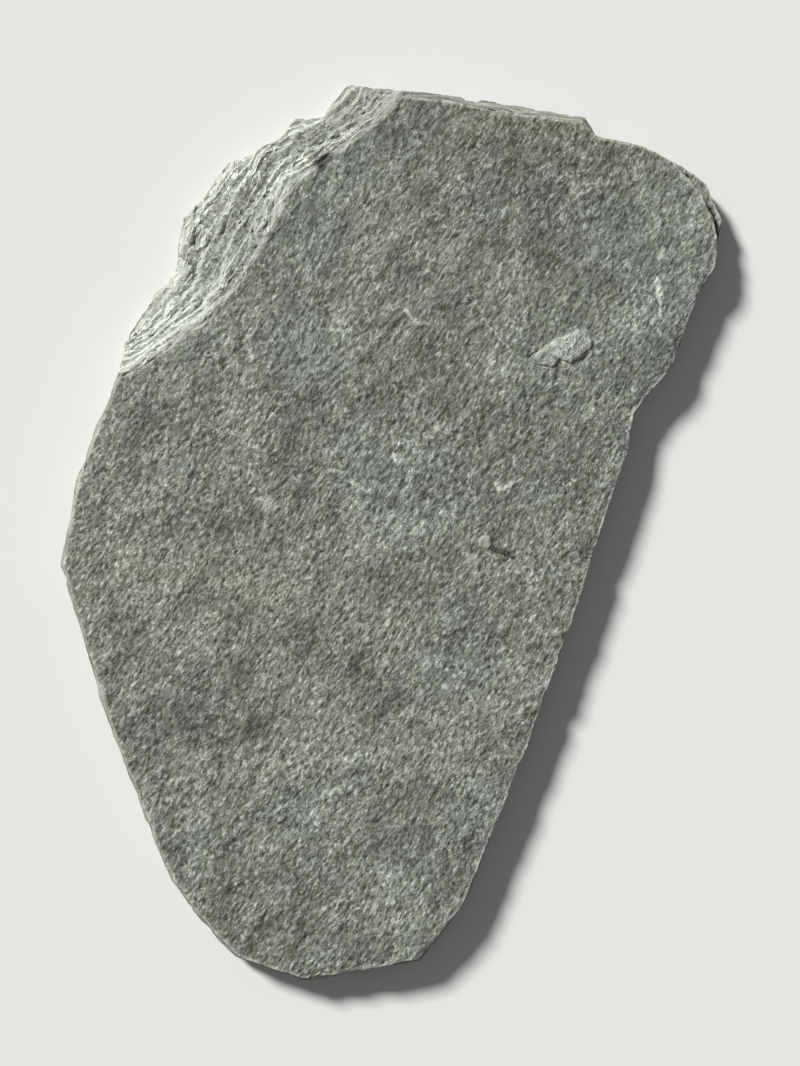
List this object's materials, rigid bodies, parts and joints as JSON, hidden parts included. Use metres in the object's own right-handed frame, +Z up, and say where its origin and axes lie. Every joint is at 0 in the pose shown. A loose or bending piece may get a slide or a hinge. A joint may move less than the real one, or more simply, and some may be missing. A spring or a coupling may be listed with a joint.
{
  "type": "slate flagstone",
  "caption": "Random slate flagstone for paving or walling: a riven slab with an irregular plan, hammered edges and a corner spalled back in sheets.",
  "frame": {"origin": "middle of the stone's bounding box, on the bed that it lies on", "axes": "+Y along the stone's length towards its straight head, +Z up out of the riven face"},
  "size_m": [0.74, 0.99, 0.0394],
  "materials": {
    "slate": "riven, matt, grey-green, with pale fresh breaks at the spalled corner"
  },
  "bodies": {
    "root": {"flagstone": "slate"}
  },
  "joints": []
}
